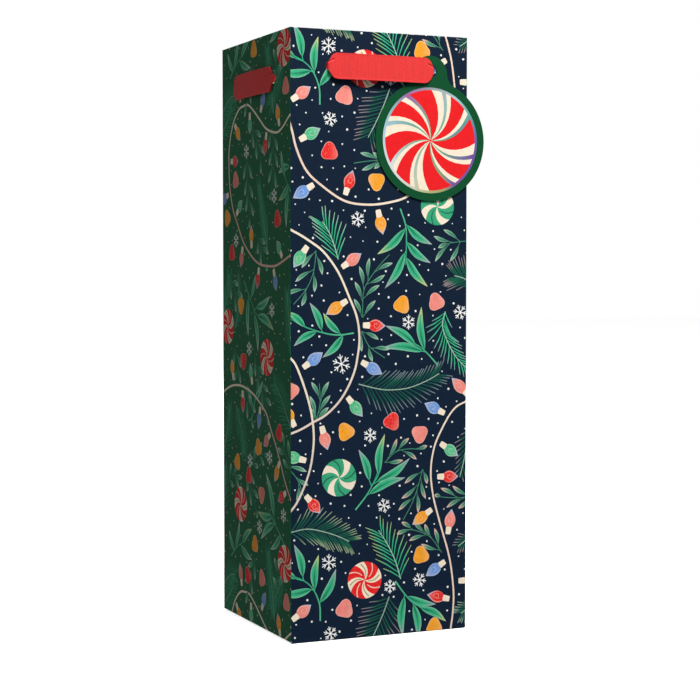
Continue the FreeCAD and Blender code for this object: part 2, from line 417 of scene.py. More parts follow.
# Each sprig: its stem, then each leaf's base and tip.
FRONT_SPRIGS = (
    (((18.5, 12), (18, 22), (14, 31), (8, 36.5), (-2, 41)),
     ((7.5, 39, 2, 58), (15, 31, 17.5, 51), (18.5, 23, 28.5, 42), (13, 31, -8, 30), (3, 38, -7, 43))),
    (((70, 253), (73.5, 243), (74, 232), (73.5, 220)),
     ((74.5, 243, 91, 232), (73, 241, 55, 226), (74.5, 233, 90, 221), (73, 227, 60, 206),
      (74, 224, 88, 207))),
    (((40, 180), (30, 179), (20, 180.5), (8, 184.5), (-2, 190)),
     ((19.5, 182, 12, 198), (31, 180, 20.5, 192), (16, 181, 2, 173), (33, 178.5, 20, 166),
      (9, 184, -3, 193))),
    (((95, 160), (86, 169), (76, 175.5)),
     ((80, 172.5, 60.5, 184), (86, 169.5, 84, 195), (85, 168.5, 58, 171))),
    (((41, 76), (48, 84), (53, 92), (56.5, 100)),
     ((50, 93, 43, 111.5), (56, 96, 60, 120), (55, 92, 76.5, 105), (50, 85, 73.5, 93.5))),
    (((67, 32), (73, 24), (79, 18), (88, 13)),
     ((75, 22, 94, 16), (84, 14.5, 101, 5), (73, 22, 72, -2), (79, 17, 82, -4))),
)
# Each twig: its stem, then its leaves' tips.
PALE_TWIGS = (
    (((61, 281.5), (50, 280.5), (40, 279)), ((44, 285), (52, 285.5), (58, 285), (45, 275), (53, 276))),
    (((118, 234.5), (111, 234), (103, 233)), ((98.5, 241), (92, 237), (93, 222), (103, 222), (95, 230))),
    (((16, 228), (14.5, 216), (10, 206), (2, 197)),
     ((7, 218), (20, 214), (3, 210), (15, 204), (-3, 203), (7, 196))),
    (((45.5, 189), (46, 203), (49, 210), (56, 219), (63, 226)),
     ((43.5, 219), (50, 224), (60, 214), (56.5, 208), (40.5, 210), (54, 199), (40, 200), (65, 221))),
    (((45, 181), (50, 172), (60, 165)), ((45, 169), (56, 176), (52, 163), (63, 170))),
    (((16, 129), (18.5, 140), (18, 151)),
     ((13, 152), (24, 152), (12, 144), (25, 144), (12, 137), (24, 137))),
    (((-3, 104), (4, 96), (8, 86)), ((-1, 90), (4, 82), (11, 92), (10, 100))),
)
PINK_TWIGS = (
    (((60, 103), (67, 109), (75, 110.5), (84, 110)),
     ((68, 117), (76, 117), (72, 104), (81, 104), (88, 112))),
    (((85, 98), (82, 88), (78, 78), (72, 68)),
     ((73, 90), (71, 81), (87, 80), (82, 72), (69, 74), (88, 89))),
    (((118, 80), (109, 79.5), (98, 80.5)), ((97, 86), (105, 87), (101, 74), (109, 73), (93, 82))),
    (((98, 47), (90, 57), (80, 61.5), (72, 62.5)),
     ((71, 67), (79, 68), (76, 55.5), (86.5, 65), (93, 62), (84, 53), (68, 60))),
)
# Each light string: its line, width, colour and the colour it fades to.
FRONT_STRINGS = (
    (((118, 143), (114.3, 138), (108, 135), (103, 130), (98, 122), (93.5, 113), (91, 103), (90.5, 93),
      (92, 82), (94, 74), (97, 64), (99.5, 56), (102.5, 46), (104.5, 36), (106, 22), (105.5, 10), (104, 0)),
     1.1, mix(CREAM, BLUSH, 0.25), mix(CREAM, BLUSH, 0.45)),
    (((104, 300), (98, 283), (90, 270), (75, 260.5), (65, 257), (50, 255), (34, 257), (19, 266), (10, 274),
      (4, 286), (1, 297), (-3, 309)), 1.3, CREAM, mix(CREAM, BLUSH, 0.5)),
    (((-4, 242), (0, 240), (6, 237), (12, 233.5), (20, 228), (27, 220), (32, 212), (37, 201), (41, 192),
      (43, 184), (43.5, 175), (42.5, 167), (40.5, 158), (36, 148), (30, 139.5), (22, 132.5), (14, 128.5),
      (6, 124.5), (-3, 121.5)), 1.3, CREAM, mix(CREAM, MAUVE, 0.35)),
    (((-3, 168), (0, 166), (3, 162.5), (6, 156), (9, 148), (11.5, 140), (13.5, 131), (14.5, 121), (14, 112),
      (12.5, 103), (10, 95), (6.5, 87), (3, 81), (-3, 74)), 1.25, CREAM, mix(CREAM, MAUVE, 0.4)),
)
# Each lamp: the foot of its socket, its tip and its colour.
FRONT_LAMPS = (
    (6, 291.5, 18, 298, "g"), (14.5, 266, 2.5, 258.5, "b"), (34.5, 260.5, 39, 274, "r"),
    (55.5, 252, 58.5, 238.5, "o"), (10.5, 230.5, 2.5, 219, "g"), (32.5, 218.5, 44, 226, "p"),
    (35.5, 199, 23, 191.5, "o"), (46, 184.5, 59.5, 184, "r"), (45, 163, 57.5, 156, "b"),
    (8, 160.5, 19.5, 168.5, "b"), (36, 142.5, 45, 131.5, "g"), (116, 141, 105, 151.5, "p"),
    (99.5, 131, 87, 137, "b"), (2.5, 126.5, -4, 138, "o"), (19.5, 126, 23, 113, "p"),
    (9.5, 106.5, -4, 110, "g"), (97, 113, 108, 105.5, "g"), (95, 93, 108, 92.5, "r"),
    (91, 73.5, 79, 65.5, "o"), (102, 58, 104.5, 72, "p"), (9.5, 86, 18, 76, "r"), (100, 41.5, 88, 34, "b"),
    (109.5, 29, 123, 29, "g"), (103, 18.5, 89, 22, "r"), (1, 14, 12, 21.5, "p"),
)
# Each sweet: its middle, turn and colour, and its size if it isn't the usual one.
FRONT_SWEETS = (
    (84, 46, 10, "o"), (54.5, 269, 180, "o"), (71, 196, -20, "o"), (35, 122, 30, "o"), (93, 2, 0, "o"),
    (34, 17.5, -15, "p", 11.5), (94, 197.5, 20, "p"), (83, 119.5, 180, "p"), (0, 147, 40, "p"),
    (24.5, 285, 0, "r"), (64.5, 127, -25, "r"),
)
# Each snowflake: its middle, radius and turn.
FRONT_FLAKES = (
    (24, 46, 5, 0), (25, 4, 4.4, 15), (42.5, 246.5, 4.6, 8), (75.5, 186, 4.4, 0), (110, 191.5, 4.6, 20),
    (32, 162, 5.8, 10), (50.5, 119.5, 4.4, 0), (59.5, 77.5, 4.4, 12), (63.5, 29, 4.2, 0),
    (83, 31.5, 4.4, 20),
)


def draw_all(draw, rows, *shared):
    for row in rows:
        draw(*row, *shared)


RED_MINT = (RED, KHAKI, mix(RED, CREAM, 0.75))
GREEN_MINT = (mix(LEAF, PINE, 0.22), None, PINE)


def front_print():
    """The navy design."""
    art = Print()
    draw_all(art.frond, FRONT_FRONDS)
    draw_all(art.sprig, FRONT_SPRIGS, 4.9)
    draw_all(art.twig, PALE_TWIGS, 2.5, SAGE, mix(PALE, SAGE, 0.35))
    draw_all(art.twig, PINK_TWIGS, 2.5, SAGE, BLUSH)
    draw_all(art.stroke, FRONT_STRINGS)
    draw_all(art.bulb, FRONT_LAMPS)
    draw_all(art.gumdrop, FRONT_SWEETS)
    art.mint(47, 34, 20, *RED_MINT)
    art.mint(94.5, 254.5, 30, *GREEN_MINT)
    art.mint(30.5, 95.5, 64, *GREEN_MINT)
    draw_all(art.snowflake, FRONT_FLAKES)
    return art


# ---------------------------------------------------------------- what is printed on the sides
SIDE_FRONDS = (
    (((78, 228), (74, 240), (69, 254), (64, 268)), 15, 20, 26),
    (((-4, 300), (4, 306), (12, 312), (18, 318)), 18, 13, 42),
    (((104, 336), (97, 330), (89, 322), (82, 314)), 17, 13, 38),
    (((-4, 96), (4, 108), (10, 120), (12, 132)), 14, 16, 38),
    (((24, 132), (30, 122), (36, 112), (38, 103)), 14, 15, 42),
    (((116, 124), (106, 134), (97, 144), (88, 150)), 16, 14, 44),
    (((-4, 186), (4, 194), (10, 204), (12, 214)), 16, 14, 38),
    (((118, 164), (114, 178), (111, 192), (109, 204)), 15, 17, 30),
    (((88, 8), (86, 20), (82, 34), (78, 48)), 16, 20, 30),
    (((-4, 12), (6, 20), (14, 24), (22, 25)), 15, 12, 44),
    (((-4, 60), (2, 72), (4, 84), (3, 92)), 12, 13, 38),
    (((22, 180), (28, 190), (30, 202), (28, 214)), 11, 13, 36),
)
SIDE_SPRIGS = (
    (((118, 258), (110, 266), (104, 272)),
     ((113, 276, 96, 273), (112, 266, 96, 257), (111, 262, 108, 241), (106, 271, 100, 286))),
    (((38, 210), (48, 200), (56, 192), (64, 188)),
     ((60, 194, 82, 201), (62, 189, 88, 181), (46, 200, 45.5, 176), (56, 190, 62, 167),
      (50, 200, 58, 214))),
    (((104, 56), (96, 62), (86, 68), (78, 74)),
     ((88, 70, 75, 95), (85, 70, 61, 70), (88, 66, 66, 54), (99, 61, 82, 50))),
    (((14, 36), (24, 43), (34, 47)),
     ((22, 43, 29, 60), (34, 47, 51, 58), (32, 45, 51, 39), (20, 40, 10, 52))),
    (((46, 124), (54, 130), (64, 158)), ((56, 138, 70, 150), (54, 132, 44, 146))),
)
SIDE_TWIGS = (
    (((86, 300), (88, 288), (88, 276), (85, 264)),
     ((80, 288), (95, 286), (81, 278), (95, 276), (80, 268), (92, 264), (82, 258))),
    (((44, 288), (45, 274), (47, 260), (49, 250)),
     ((38, 272), (52, 272), (40, 262), (54, 260), (42, 252), (55, 249), (48, 242))),
    (((52, 304), (58, 298), (64, 290), (68, 282)), ((56, 290), (68, 296), (61, 283), (72, 286), (68, 274))),
    (((64, 236), (68, 230), (74, 222)), ((62, 226), (74, 232), (68, 219), (80, 226), (78, 216))),
    (((12, 212), (20, 206), (28, 196)), ((16, 198), (28, 207), (24, 190), (36, 200), (34, 189))),
    (((56, 166), (62, 154), (70, 142), (76, 132)),
     ((58, 152), (72, 154), (64, 142), (79, 144), (70, 132), (84, 136), (80, 124))),
    (((38, 146), (44, 138), (50, 128)), ((38, 134), (51, 138), (44, 125), (58, 130), (54, 120))),
    (((52, 98), (60, 104), (70, 106)), ((58, 110), (62, 97), (68, 113), (72, 99), (78, 106))),
    (((10, 84), (18, 88), (26, 88)), ((14, 95), (18, 80), (26, 96), (28, 81), (34, 88))),
    (((44, 92), (50, 82), (57, 72)), ((44, 80), (56, 86), (50, 72), (62, 78), (61, 66))),
    (((116, 100), (108, 108), (100, 114)), ((110, 118), (102, 106), (101, 122), (94, 112))),
    (((56, 40), (50, 30), (44, 18)), ((56, 27), (44, 34), (51, 17), (38, 24), (40, 10))),
    (((22, 168), (26, 158), (26, 148)), ((19, 156), (33, 156), (20, 147), (32, 146))),
    (((98, 20), (94, 30), (92, 42)), ((86, 34), (100, 38), (88, 46), (98, 50))),
)
SIDE_STRINGS = (
    ((118, 307), (112, 304.5), (104, 300), (95, 297), (85, 298), (75, 301), (65, 307), (55, 313), (46, 317),
     (38, 317), (30, 315.5), (21, 309), (15, 300), (12, 290), (12, 280), (13, 270), (16, 261), (20, 253),
     (28, 244), (36, 235), (46, 228), (56, 223), (66, 220), (78, 219), (90, 219), (100, 221), (118, 226)),
    ((-3, 138), (0, 139), (10, 142.5), (20, 144.5), (32, 145), (44, 143.5), (54, 141), (64, 137),
     (76, 130.5), (83, 122), (91, 113), (98, 104), (104, 95), (110, 88), (118, 80)),
)
SIDE_LAMPS = (
    (22.5, 307, 32, 297, "o"), (49, 312, 49, 300, "g"), (67, 11, 73.5, 22, "b"),
    (97.5, 300.5, 93.5, 313, "o"), (77, 298, 73, 285, "r"), (15, 284.5, 28, 284, "r"),
    (11, 264, -2, 260, "b"), (25, 251, 35, 259, "g"), (36, 231, 32.5, 219, "p"), (51.5, 230, 51, 243, "o"),
    (64, 218, 60.5, 206, "r"), (88, 217, 92, 205, "b"), (101.5, 224, 93.5, 233, "g"),
    (19, 148, 16, 160, "o"), (52, 147, 48.5, 159, "g"), (35, 142, 36, 129, "r"),
    (65.5, 134, 62.5, 121, "b"), (82, 119, 71.5, 111.5, "p"), (97, 104, 89, 92, "o"),
    (107, 87, 95, 81, "r"), (33, 20, 29.5, 33, "p"),
)
SIDE_SWEETS = (
    (56, 49, 0, "o"), (9, 249, 30, "o"), (33, 195, 180, "o"), (62.5, 109, 15, "o"), (25.5, 96.5, -20, "o"),
    (107.5, 22, 0, "p"), (24, 272, 10, "p"), (67.5, 81.5, 180, "p"), (68, 30, 20, "p"), (17, 227, 0, "r"),
    (94.5, 246, 15, "r"), (37, 161, 180, "r"), (96.5, 120.5, -15, "r"), (46, 90, 0, "r"), (44, 28, 30, "r"),
)
SIDE_MINTS = (
    (105, 45, 12), (9, 181, 28), (77, 164.5, 46), (31.5, 71, 6),
)
SIDE_FLAKES = (
    (43, 289), (24.5, 235), (89, 260), (85, 193), (47, 168.5), (81, 105), (48, 100), (103, 73), (64, 61),
)


def side_print():
    """The green design."""
    art = Print()
    draw_all(art.frond, SIDE_FRONDS, mix(PINE, LEAF, 0.6), SAGE, mix(SAGE, PALE, 0.4))
    draw_all(art.sprig, SIDE_SPRIGS, 6.0, mix(LEAF, PALE, 0.12), PALE)
    draw_all(art.twig, SIDE_TWIGS, 3.4, mix(SAGE, LEAF, 0.3), PALE)
    for points in SIDE_STRINGS:
        art.stroke(points, 1.4, CREAM, BLUSH)
    draw_all(art.bulb, SIDE_LAMPS)
    draw_all(art.gumdrop, SIDE_SWEETS)
    draw_all(art.mint, SIDE_MINTS, *RED_MINT)
    draw_all(art.snowflake, SIDE_FLAKES, 4.6)
    return art


# ---------------------------------------------------------------- from the flat to meshes
def cut_out(art, outline, holes, creases, ground):
    """Cuts the outline into triangles along every shape's edge, and finds each triangle's top shape."""
    rings = [outline] + [shape.outline for shape in art.shapes]
    points, lines = [], []
    for ring in rings + holes:
        first = len(points)
        points += [Vector(p) for p in ring]
        lines += [(first + k, first + (k + 1) % len(ring)) for k in range(len(ring))]
    for a, b in creases:
        lines.append((len(points), len(points) + 1))
        points += [Vector(a), Vector(b)]
    flat, _, triangles, *_ = delaunay_2d_cdt(points, lines, [], 0, 1e-4, False)
    centres = [(flat[a] + flat[b] + flat[c]) / 3 for a, b, c in triangles]
    within = topmost(centres, [outline])
    cut = topmost(centres, holes)
    top = topmost(centres, rings)
    kept = [(t, n) for t, n, w, c in zip(triangles, top, within, cut) if w >= 0 and c < 0]
    used = sorted({i for triangle, _ in kept for i in triangle})
    place = {i: k for k, i in enumerate(used)}
    corner = Vector(outline[0])
    shapes = [Shape(outline, ground, ground, corner, corner, 0.0)] + art.shapes
    faces = [tuple(place[i] for i in triangle) for triangle, _ in kept]
    return [Vector(flat[i]) for i in used], faces, [shapes[n] for _, n in kept]


def paint(mesh, flat, shapes, foil=None):
    """Gives each corner its ink, fading along the shape it belongs to, and each face its chalkiness."""
    ink = mesh.color_attributes.new("ink", "FLOAT_COLOR", "CORNER")
    chalk = mesh.attributes.new("chalk", "FLOAT", "FACE")
    colours = []
    for polygon, shape in zip(mesh.polygons, shapes):
        along = shape.end - shape.start
        reach = along.length_squared
        for i in polygon.vertices:
            share = min(max((flat[i] - shape.start).dot(along) / reach, 0.0), 1.0) if reach else 0.0
            eased = share * share * (3 - 2 * share)
            shown = foil(flat[i]) if shape.colour == "foil" else mix(shape.colour, shape.far, eased)
            colours += (*shown, 1.0)
    colours += (1.0,) * (4 * len(mesh.loops) - len(colours))
    ink.data.foreach_set("color", colours)
    plain = [0.0] * (len(mesh.polygons) - len(shapes))
    chalk.data.foreach_set("value", [shape.chalk for shape in shapes] + plain)


def new_object(name, points, faces, *materials):
    """A mesh object from points in millimetres."""
    mesh = bpy.data.meshes.new(name)
    mesh.from_pydata([p * MM for p in points], [], faces)
    made = bpy.data.objects.new(name, mesh)
    bpy.context.scene.collection.objects.link(made)
    for material in materials:
        mesh.materials.append(material)
    return made


def doubled(points, under, faces):
    """A closed sheet: the faces, the same from below, and the cut edges between them."""
    count = len(points)
    edges = {}
    for face in faces:
        for edge in zip(face, face[1:] + face[:1]):
            edges[edge] = True
    below = [tuple(i + count for i in face[::-1]) for face in faces]
    sides = [(b, a, a + count, b + count) for a, b in edges if (b, a) not in edges]
    return points + under, faces + below + sides


def new_sheet(name, points, under, triangles, bends, *materials):
    """A closed sheet with its back and cut edges in its last material. Only the bends are shaded smooth."""
    made = new_object(name, *doubled(points, under, triangles), *materials)
    front, rest = len(triangles), len(made.data.polygons) - len(triangles)
    made.data.polygons.foreach_set("material_index", [0] * front + [len(materials) - 1] * rest)
    made.data.polygons.foreach_set("use_smooth", bends + bends + [False] * (rest - front))
    return made


# ---------------------------------------------------------------- materials
class Surface:
    """A material with noise in the object's own space."""

    def __init__(self, name, roughness, metallic, specular):
        self.material = bpy.data.materials.new(name)
        self.material.use_nodes = True
        self.tree = self.material.node_tree
        self.shade("Roughness", roughness)
        self.shade("Metallic", metallic)
        self.shade("Specular IOR Level", specular)

    def put(self, socket, value):
        """Gives a socket a value, or another socket that feeds it."""
        if isinstance(value, bpy.types.NodeSocket):
            self.tree.links.new(value, socket)
        else:
            socket.default_value = value

    def shade(self, name, value):
        self.put(self.tree.nodes["Principled BSDF"].inputs[name], value)

    def add(self, kind, inputs, operation=None):
        made = self.tree.nodes.new("ShaderNode" + kind)
        if operation:
            made.operation = operation
        for key, value in inputs.items():
            self.put(made.inputs[key], value)
        return made

    def attribute(self, name):
        made = self.add("Attribute", {})
        made.attribute_name = name
        return made.outputs

    def noise(self, scale, detail=3.0, roughness=0.5, stretch=None):
        place = self.add("TexCoord", {}).outputs["Object"]
        if stretch:
            place = self.add("Mapping", {"Scale": stretch, "Vector": place}).outputs["Vector"]
        inputs = {"Scale": scale, "Detail": detail, "Roughness": roughness, "Vector": place}
        return self.add("TexNoise", inputs).outputs["Fac"]

    def ranged(self, value, low, high, to_low, to_high):
        inputs = {"From Min": low, "From Max": high, "To Min": to_low, "To Max": to_high, "Value": value}
        return self.add("MapRange", inputs).outputs["Result"]

    def blended(self, amount, first, second):
        """A blend of two colours, each a colour or a socket."""
        made = self.add("Mix", {})
        made.data_type = "RGBA"
        self.put(made.inputs[0], amount)
        for socket, value in ((made.inputs[6], first), (made.inputs[7], second)):
            self.put(socket, (*value, 1.0) if isinstance(value, tuple) else value)
        return made.outputs[2]

    def bumped(self, height, strength, distance):
        inputs = {"Strength": strength, "Distance": distance, "Height": height}
        self.shade("Normal", self.add("Bump", inputs).outputs["Normal"])


def printed_material(name, roughness, mottle, metallic=0.0):
    """Ink on paper: each face's own colour, a little uneven, and chalky where the artwork is."""
    surface = Surface(name, roughness, metallic, 0.1)
    broad = surface.ranged(surface.noise(260, 4), 0.3, 0.7, 1 - mottle, 1 + mottle)
    ink, chalk = surface.attribute("ink")["Color"], surface.attribute("chalk")["Fac"]
    uneven = surface.add("VectorMath", {0: ink, "Scale": broad}, "SCALE").outputs[0]
    speck = surface.ranged(surface.noise(1100, 4, 0.65), 0.5, 0.66, 0.0, 0.4)
    amount = surface.add("Math", {0: speck, 1: chalk}, "MULTIPLY").outputs[0]
    surface.shade("Base Color", surface.blended(amount, uneven, CREAM))
    fine = surface.noise(2600)
    surface.shade("Roughness", surface.ranged(fine, 0.3, 0.7, roughness - 0.06, roughness + 0.06))
    surface.bumped(fine, 0.12, 0.00006)
    return surface.material


def paper_material(name, light, dark, scale, roughness):
    """Bare paper or board, with fibres and flecks."""
    surface = Surface(name, roughness, 0.0, 0.3)
    fibres = surface.noise(scale, 6.0, stretch=(1.0, 1.0, 3.0))
    colour = surface.blended(surface.ranged(fibres, 0.35, 0.65, 0.0, 1.0), dark, light)
    flecks = surface.ranged(surface.noise(scale * 2.5, 2), 0.66, 0.72, 0.0, 0.35)
    surface.shade("Base Color", surface.blended(flecks, colour, dark))
    surface.bumped(fibres, 0.25, 0.00008)
    return surface.material


def ribbon_material():
    """Grosgrain: matt red cloth with a slight sheen, its ribs a little uneven in colour."""
    surface = Surface("ribbon_cloth", 0.62, 0.0, 0.3)
    surface.shade("Sheen Weight", 0.12)
    surface.shade("Sheen Roughness", 0.5)
    uneven = surface.ranged(surface.noise(900), 0.3, 0.7, 0.0, 1.0)
    cloth = surface.blended(uneven, RIBBON_DEEP, RIBBON_RED)
    streak = surface.ranged(surface.noise(820, 2.0, stretch=(1.0, 1.0, 0.08)), 0.4, 0.66, 0.0, 0.28)
    surface.shade("Base Color", surface.blended(streak, cloth, RIBBON_STREAK))
    weave = surface.noise(3200, 2)
    surface.shade("Roughness", surface.ranged(weave, 0.3, 0.7, 0.55, 0.7))
    surface.bumped(weave, 0.2, 0.0001)
    return surface.material


printed_paper = printed_material("printed_paper", 0.55, 0.07)
card_print = printed_material("card_print", 0.5, 0.05)
foil_print = printed_material("foil_print", 0.34, 0.04, 0.25)
white_paper = paper_material("white_paper", srgb(244, 243, 238), srgb(228, 226, 219), 420, 0.7)
grey_board = paper_material("grey_board", srgb(188, 180, 166), srgb(164, 155, 140), 800, 0.85)
ribbon_cloth = ribbon_material()
tag_back = paper_material("tag_back", srgb(20, 92, 54), srgb(14, 76, 42), 500, 0.6)


# ---------------------------------------------------------------- the folded sheet
class Sheet(NamedTuple):
    """How the sheet of one wall is folded and printed."""
    turn: int  # degrees round the bag
    layer: int  # of its base flap, counted from the floor
    taper: float  # how far the ends of the flap's free edge step in
    rim: float  # depth of the fold over the rim
    inset: float  # how far the ends of the turned-in hem step in
    ground: tuple  # its colour
    dots: tuple  # the snow's colour
    seed: int  # for the snow's places
    lift: float  # how far up the print this wall starts

    @property
    def rim_start(self):
        return HEIGHT - self.rim / 2

    @property
    def hem_start(self):
        return self.rim_start + math.pi * self.rim / 2

    @property
    def top(self):
        return self.hem_start + HEM_DROP - self.rim / 2


BACK_SHARE = 0.93  # of the paper's thickness, so that layers that touch don't share a surface
FRONT_RIM = 2 * PAPER + 0.5  # the fold goes round a board
SIDE_RIM = 2 * PAPER
WALLS = {
    "front": Sheet(0, 0, 12, FRONT_RIM, PAPER, NAVY, WHITE, 4, 0.0),
    "right": Sheet(90, 2, 30, SIDE_RIM, FRONT_RIM, SIDE_GREEN, DIM_CREAM, 15, 170.0),
    "back": Sheet(180, 1, 12, FRONT_RIM, PAPER, NAVY, WHITE, 11, 140.0),
    "left": Sheet(270, 2, 30, SIDE_RIM, FRONT_RIM, SIDE_GREEN, DIM_CREAM, 7, 0.0),
}


def turned(point, degrees):
    """A point of the front wall's frame, carried round the bag to another wall."""
    a = math.radians(degrees)
    x = point.x * math.cos(a) - point.y * math.sin(a)
    y = point.x * math.sin(a) + point.y * math.cos(a)
    return Vector((x, y, point.z))


def sheet_place(sheet, u, v, under=0.0):
    """Where a point of the flat sheet, u across from its left crease and v up, lies on the folded bag."""
    radius = sheet.rim / 2
    start = sheet.rim_start
    level = sheet.layer * PAPER
    depth, up = under, level + v * (1 - level / HEIGHT)
    if v < BASE_RADIUS:
        a = math.radians(90) * min((BASE_RADIUS - v) / (2 * BASE_RADIUS), 1.0)
        up = level + BASE_RADIUS - (BASE_RADIUS - under) * math.sin(a)
        depth = BASE_RADIUS - (BASE_RADIUS - under) * math.cos(a) if v > -BASE_RADIUS else -v
    elif v > start:
        a = (v - start) / radius
        up = start + (radius - under) * math.sin(a) if a < math.pi else start - (v - start - math.pi * radius)
        depth = radius - (radius - under) * math.cos(min(a, math.pi))
    across = u - WIDTH / 2
    edge = min(u, WIDTH - u)
    if edge < CORNER_RADIUS and v > -BASE_RADIUS:
        a = math.radians(45) * (1 - max(edge, 0.0) / CORNER_RADIUS)
        fold_share = min(max(v - start, 0.0) / (math.pi * radius), 1.0)
        inset = CORNER_RADIUS - (CORNER_RADIUS - under) * math.sin(a)
        inset = edge * fold_share + inset * (1 - fold_share)
        across = math.copysign(WIDTH / 2 - inset, across)
        depth += (CORNER_RADIUS - under) * (1 - math.cos(a)) * (1 - fold_share)
    return turned(Vector((across, depth - DEPTH / 2, up)), sheet.turn)


def flap_reach(wall):
    """How far a wall's base flap goes in from its crease."""
    low, high = corners(wall + "_base_flap")
    size = high - low
    return (size.x if WALLS[wall].turn % 180 else size.y) + PAPER


def punched(wall):
    """How far a wall's punched holes are from its middle, and how far up."""
    low, high = corners(wall + "_strap")
    length = (high - low)[1 if WALLS[wall].turn % 180 else 0]
    return length / 2 - TAIL_INSET, (high.z + low.z) / 2


def creases_of(sheet):
    """Lines across the flat sheet along which it is cut, so that its bends are round."""
    sides = [k * CORNER_RADIUS / 3 for k in (1, 2, 3)]
    lines = [((u, -1), (u, sheet.rim_start)) for u in sides + [WIDTH - u for u in sides]]
    levels = [share * BASE_RADIUS for share in (-1, -0.6, -0.2, 0.2, 0.6, 1)]
    levels += [sheet.rim_start + k * math.pi * (sheet.rim / 2) / 8 for k in range(9)]
    return lines + [((-5, v), (WIDTH + 5, v)) for v in levels]


def make_wall(wall, art):
    """One wall with its base flap and its turned-in hem, as one printed sheet."""
    sheet = WALLS[wall]
    start, hem_start, top = sheet.rim_start, sheet.hem_start, sheet.top
    reach = flap_reach(wall)
    right_half = [(WIDTH - sheet.taper, -reach), (WIDTH - 0.8, -BASE_RADIUS), (WIDTH, 0), (WIDTH, start),
                  (WIDTH - sheet.inset, hem_start), (WIDTH - sheet.inset, top)]
    left_half = [(sheet.inset, top), (sheet.inset, hem_start), (0, start), (0, 0), (0.8, -BASE_RADIUS)]
    outline = [(sheet.taper, -reach)] + right_half + left_half
    placed = art.repeated(sheet.lift - 60, sheet.lift + top + 10, sheet.lift)
    placed.snow(sheet.seed, -reach, top, sheet.dots)
    half, level = punched(wall)
    holes = []
    for side in (-1, 1):
        for up in (level, hem_start + start - level):
            holes.append(circle((WIDTH / 2 + side * half, up), PUNCH_RADIUS, 28))
    flat, triangles, shapes = cut_out(placed, outline, holes, creases_of(sheet), sheet.ground)
    bends = []
    for triangle in triangles:
        centre = sum((flat[i] for i in triangle), Vector((0, 0))) / 3
        upright = min(centre.x, WIDTH - centre.x) < CORNER_RADIUS and centre.y < start
        bends.append(upright or abs(centre.y) < BASE_RADIUS or start < centre.y < hem_start)
    over = [sheet_place(sheet, p.x, p.y) for p in flat]
    under = [sheet_place(sheet, p.x, p.y, PAPER * BACK_SHARE) for p in flat]
    made = new_sheet(wall + "_wall", over, under, triangles, bends, printed_paper, white_paper)
    paint(made.data, flat, shapes)
    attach(made, "bag")
    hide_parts(wall + "_panel", wall + "_top_hem", wall + "_base_flap")


navy_art = front_print()
green_art = side_print()
for wall, art in (("front", navy_art), ("left", green_art), ("back", navy_art), ("right", green_art)):
    make_wall(wall, art)


# ---------------------------------------------------------------- the ribbon loop
RIBBON_HALF = 7.5
RIBBON_THICKNESS = 0.36
RIB_PITCH = 0.92
RIB_DEPTH = 0.042
EDGE_WIDTH = 0.75  # of the plain strip along each edge
EDGE_RISE = 0.05
LAYER_GAP = 0.24
GROOVE_DEPTH = 0.55
GROOVE_WIDTH = 0.3
STEP = 0.225  # from one column of points to the next
ROWS = 50
BUNCHED = 2.15  # half width where the ribbon passes through a hole
OPENING = 9.0  # length over which it opens out inside
TAIL_DEPTH = 5.4  # how far the strap's ends go in through the wall
HANDLE = 3.4  # of the curve inside a corner, along each tail
LAP_OFFSET = 0.42
LAP_COLUMNS = 27  # each way from the middle of the corner


def pleated(w, half):
    """A point of the ribbon's width folded to and fro to fit within half: its place and its layer."""
    size = abs(w)
    if size <= half:
        return w, 0
    folds = math.ceil((size - half) / (2 * half))
    rest = size - half - 2 * half * (folds - 1)
    place = half - rest if folds % 2 else rest - half
    return math.copysign(place, w), 2 * folds - (1 if w > 0 else 0)


def groove(place, start, end):
    """How deep a short crease is at a place, from 0 to 1. Places are a column and a distance across."""
    place, start, end = (Vector((STEP * column, w)) for column, w in (place, start, end))
    along = end - start
    share = min(max((place - start).dot(along) / along.length_squared, 0.0), 1.0)
    gap = (place - start - along * share).length
    return math.exp(-(gap / GROOVE_WIDTH) ** 2)


def make_ribbon(name, line, halves, rise, grooves=()):
    """Ribbon along a path in plan. Its width stands up, pleated to the half width given for each point."""
    over, under = [], []
    travelled = 0.0
    for i, place in enumerate(line):
        ahead = heading(line, i).normalized()
        out = Vector((ahead.y, -ahead.x, 0.0))
        if i:
            travelled += (line[i] - line[i - 1]).length
        rib = RIB_DEPTH * math.cos(math.tau * travelled / RIB_PITCH)
        for j in range(ROWS + 1):
            w = RIBBON_HALF * (2 * j / ROWS - 1)
            across, layer = pleated(w, halves[i])
            edge = RIBBON_HALF - abs(w) < EDGE_WIDTH
            height = (EDGE_RISE if edge else rib) - layer * LAYER_GAP
            for start, end in grooves:
                height -= GROOVE_DEPTH * groove((i, w), start, end)
            centre = Vector((place.x, place.y, rise[i] + across))
            over.append(centre + out * (height + RIBBON_THICKNESS / 2))
            low = -layer * LAYER_GAP - RIBBON_THICKNESS / 2 - (0.0 if edge else rib)
            under.append(centre + out * low)
    grid = []
    for i in range(len(line) - 1):
        for j in range(ROWS):
            near = i * (ROWS + 1) + j
            far = near + ROWS + 1
            grid.append((near, far, far + 1, near + 1))
    made = new_object(name, *doubled(over, under, grid), ribbon_cloth)
    made.data.polygons.foreach_set("use_smooth", [True] * len(made.data.polygons))
    made.data.set_sharp_from_angle(angle=math.radians(50))
    return made


def resampled(line, pitch):
    """The same line with points at an even pitch."""
    made, left = [line[0]], pitch
    for a, b in zip(line, line[1:]):
        piece = (b - a).length
        while piece > 0 and left <= piece:
            a = a + (b - a) * (left / piece)
            piece = (b - a).length
            made.append(a.copy())
            left = pitch
        left -= piece
    return made


